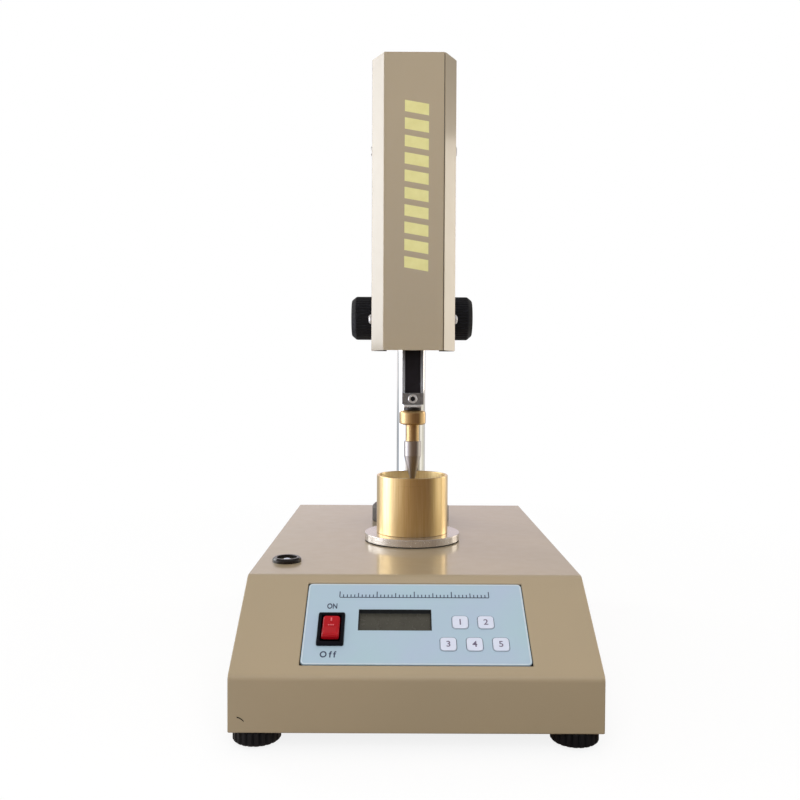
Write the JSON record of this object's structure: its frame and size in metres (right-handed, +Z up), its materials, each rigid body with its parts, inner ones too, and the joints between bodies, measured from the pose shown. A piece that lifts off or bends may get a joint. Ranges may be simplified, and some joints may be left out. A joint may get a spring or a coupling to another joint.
{
  "type": "soil cone penetrometer",
  "caption": "Bench instrument with a sloped control panel, a column-mounted lifting head and a falling cone on a measuring beam over a brass sample cup on a round platform.",
  "frame": {"origin": "on the bench, under the middle of the footprint", "axes": "+Z up, +Y towards the back, front control panel towards -Y, +X to the right seen from the front"},
  "size_m": [0.21, 0.3524, 0.442],
  "materials": {
    "beige_paint": "semi-gloss orange-peel paint",
    "dark_paint": "satin black paint",
    "zinc_sheet": "zinc-plated sheet",
    "overlay_print": "matt printed film",
    "switch_black": "moulded",
    "switch_red": "moulded",
    "key_white": "embossed film",
    "display": "unlit liquid crystal glass",
    "circuit_board": "solder mask",
    "chrome": "polished plating",
    "steel": "turned",
    "brass": "turned and polished",
    "rubber": "moulded",
    "black_plastic": "moulded",
    "level_ring": "moulded",
    "level_fluid": "clear vial",
    "fastener": "zinc plated",
    "iron": "laminated core",
    "aluminium": "sand-cast, machined faces",
    "scale_black": "laminated strip"
  },
  "bodies": {
    "base": {"base_cover": "beige_paint", "base_pan": "dark_paint", "pan_screws": "fastener", "panel_plate": "dark_paint", "panel_overlay": "overlay_print", "switch_housing": "switch_black", "lcd_module": "dark_paint", "lcd_glass": "display", "key_board": "circuit_board", "stiffener": "zinc_sheet", "column_flange": "dark_paint", "flange_screws": "fastener", "column": "chrome", "column_nut": "fastener", "column_rack": "steel", "platform": "steel", "platform_screw": "fastener", "level_bezel": "level_ring", "level_vial": "level_fluid", "main_board": "circuit_board", "transformer": "iron", "power_inlet": "switch_black", "foot_nuts": "fastener"},
    "head": {"head_cover": "beige_paint", "head_frame": "dark_paint", "cover_screws": "fastener", "head_carriage": "aluminium", "carriage_screws": "fastener", "guide_bushes": "brass", "shaft_bushes": "brass", "beam_guide": "black_plastic", "scale_reader": "circuit_board", "magnet": "steel"},
    "knobs": {"knob_left": "black_plastic", "knob_right": "black_plastic", "pinion_shaft": "steel", "pinion": "steel"},
    "cone": {"scale_beam": "steel", "scale_strip": "scale_black", "beam_clamp": "steel", "clamp_screw": "fastener", "cone_collar": "brass", "cone_tip": "steel", "armature": "steel"},
    "cup": {"sample_cup": "brass"},
    "rocker": {"switch_rocker": "switch_red"},
    "button_1": {"key_1": "key_white"},
    "button_2": {"key_2": "key_white"},
    "button_3": {"key_3": "key_white"},
    "button_4": {"key_4": "key_white"},
    "button_5": {"key_5": "key_white"},
    "lifter_front_left": {"pad_front_left": "rubber"},
    "wheel_front_left": {"foot_front_left": "black_plastic"},
    "lifter_front_right": {"pad_front_right": "rubber"},
    "wheel_front_right": {"foot_front_right": "black_plastic"},
    "lifter_back_left": {"pad_back_left": "rubber"},
    "wheel_back_left": {"foot_back_left": "black_plastic"},
    "lifter_back_right": {"pad_back_right": "rubber"},
    "wheel_back_right": {"foot_back_right": "black_plastic"}
  },
  "joints": [
    {"name": "head_lift", "type": "slide", "parent": "base", "child": "head", "axis": [0, 0, 1], "range_m": [-0.006, 0.05]},
    {"name": "knob_turn", "type": "hinge", "parent": "head", "child": "knobs", "pos_m": [0, 0.07275, 0.256], "axis": [1, 0, 0], "range_deg": [-290, 36]},
    {"name": "cone_drop", "type": "slide", "parent": "head", "child": "cone", "axis": [0, 0, -1], "range_m": [0, 0.022]},
    {"name": "cup_turn", "type": "hinge", "parent": "base", "child": "cup", "pos_m": [0, 0.0038, 0.0896], "axis": [0, 0, 1], "continuous": true},
    {"name": "power_rocker", "type": "hinge", "parent": "base", "child": "rocker", "pos_m": [-0.0497, -0.14834, 0.06001], "axis": [1, 0, 0], "range_deg": [0, 18]},
    {"name": "key_1_press", "type": "slide", "parent": "base", "child": "button_1", "axis": [0, 0.5441, -0.839], "range_m": [0, 0.0006], "stiffness_N_per_m": 1500, "springref_m": -0.0002},
    {"name": "key_2_press", "type": "slide", "parent": "base", "child": "button_2", "axis": [0, 0.5441, -0.839], "range_m": [0, 0.0006], "stiffness_N_per_m": 1500, "springref_m": -0.0002},
    {"name": "key_3_press", "type": "slide", "parent": "base", "child": "button_3", "axis": [0, 0.5441, -0.839], "range_m": [0, 0.0006], "stiffness_N_per_m": 1500, "springref_m": -0.0002},
    {"name": "key_4_press", "type": "slide", "parent": "base", "child": "button_4", "axis": [0, 0.5441, -0.839], "range_m": [0, 0.0006], "stiffness_N_per_m": 1500, "springref_m": -0.0002},
    {"name": "key_5_press", "type": "slide", "parent": "base", "child": "button_5", "axis": [0, 0.5441, -0.839], "range_m": [0, 0.0006], "stiffness_N_per_m": 1500, "springref_m": -0.0002},
    {"name": "foot_lift_front_left", "type": "slide", "parent": "base", "child": "lifter_front_left", "axis": [0, 0, -1], "range_m": [0, 0.006]},
    {"name": "foot_turn_front_left", "type": "hinge", "parent": "lifter_front_left", "child": "wheel_front_left", "pos_m": [-0.0907, -0.1622, 0], "axis": [0, 0, -1], "range_deg": [0, 1740]},
    {"name": "foot_lift_front_right", "type": "slide", "parent": "base", "child": "lifter_front_right", "axis": [0, 0, -1], "range_m": [0, 0.006]},
    {"name": "foot_turn_front_right", "type": "hinge", "parent": "lifter_front_right", "child": "wheel_front_right", "pos_m": [0.0907, -0.1622, 0], "axis": [0, 0, -1], "range_deg": [0, 1740]},
    {"name": "foot_lift_back_left", "type": "slide", "parent": "base", "child": "lifter_back_left", "axis": [0, 0, -1], "range_m": [0, 0.006]},
    {"name": "foot_turn_back_left", "type": "hinge", "parent": "lifter_back_left", "child": "wheel_back_left", "pos_m": [-0.0907, 0.1598, 0], "axis": [0, 0, -1], "range_deg": [0, 1740]},
    {"name": "foot_lift_back_right", "type": "slide", "parent": "base", "child": "lifter_back_right", "axis": [0, 0, -1], "range_m": [0, 0.006]},
    {"name": "foot_turn_back_right", "type": "hinge", "parent": "lifter_back_right", "child": "wheel_back_right", "pos_m": [0.0907, 0.1598, 0], "axis": [0, 0, -1], "range_deg": [0, 1740]}
  ],
  "couplings": [
    {"joint": "knob_turn", "follows": "head_lift", "rad_per_m": -100},
    {"joint": "foot_turn_front_left", "follows": "foot_lift_front_left", "rad_per_m": 5026.5},
    {"joint": "foot_turn_front_right", "follows": "foot_lift_front_right", "rad_per_m": 5026.5},
    {"joint": "foot_turn_back_left", "follows": "foot_lift_back_left", "rad_per_m": 5026.5},
    {"joint": "foot_turn_back_right", "follows": "foot_lift_back_right", "rad_per_m": 5026.5}
  ]
}
